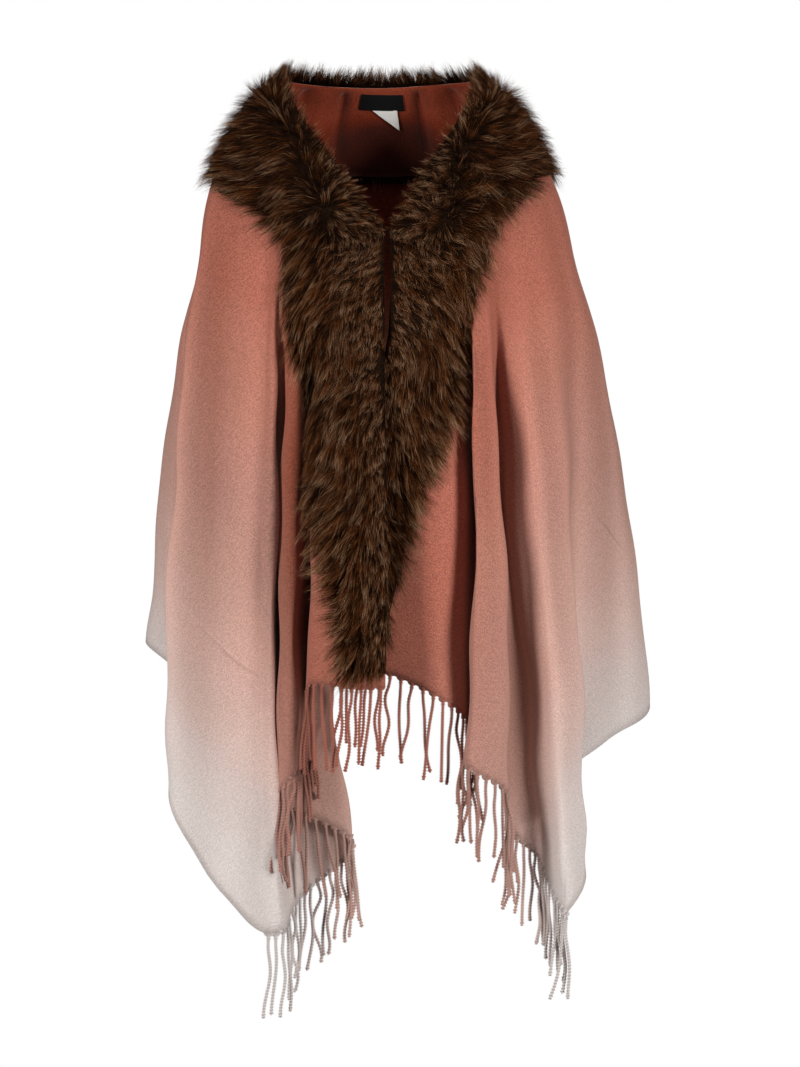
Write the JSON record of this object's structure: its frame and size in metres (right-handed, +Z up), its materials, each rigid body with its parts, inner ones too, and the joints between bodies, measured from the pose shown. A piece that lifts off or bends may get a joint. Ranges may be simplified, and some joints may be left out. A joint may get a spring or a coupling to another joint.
{
  "type": "fur-trimmed shawl cape",
  "caption": "Long woven shawl worn as a cape, dyed from terracotta to cream, with a fur-trimmed upper edge and twisted fringe at both ends.",
  "frame": {"origin": "between the shoulders, level with the tops of the upper arms, where the wearer's shoulders carry the cape", "axes": "+Z up, -Y the way the wearer faces, so +X is the wearer's left"},
  "size_m": [0.647, 0.4208, 1.216],
  "materials": {
    "cloth": "brushed wool-like weave, dyed from terracotta to cream",
    "fur": "long brown pile with pale tips",
    "fringe": "twisted yarn, dyed with the cloth",
    "label": "plain black damask weave",
    "tag": "plain white satin tape"
  },
  "bodies": {
    "root": {"cloth_front_edge_right": "cloth", "cloth_front_fold_right": "cloth", "cloth_front_panel_right": "cloth", "cloth_side_right": "cloth", "cloth_back_right": "cloth", "cloth_back": "cloth", "cloth_back_left": "cloth", "cloth_side_left": "cloth", "cloth_front_panel_left": "cloth", "cloth_front_fold_left": "cloth", "cloth_front_edge_left": "cloth", "fur_front_edge_right": "fur", "fur_front_fold_right": "fur", "fur_front_panel_right": "fur", "fur_side_right": "fur", "fur_back_right": "fur", "fur_back": "fur", "fur_back_left": "fur", "fur_side_left": "fur", "fur_front_panel_left": "fur", "fur_front_fold_left": "fur", "fur_front_edge_left": "fur", "fringe_front_edge_right": "fringe", "fringe_front_fold_right": "fringe", "fringe_front_panel_right": "fringe", "fringe_front_panel_left": "fringe", "fringe_front_fold_left": "fringe", "fringe_front_edge_left": "fringe", "neck_label": "label", "care_tag": "tag"}
  },
  "joints": []
}
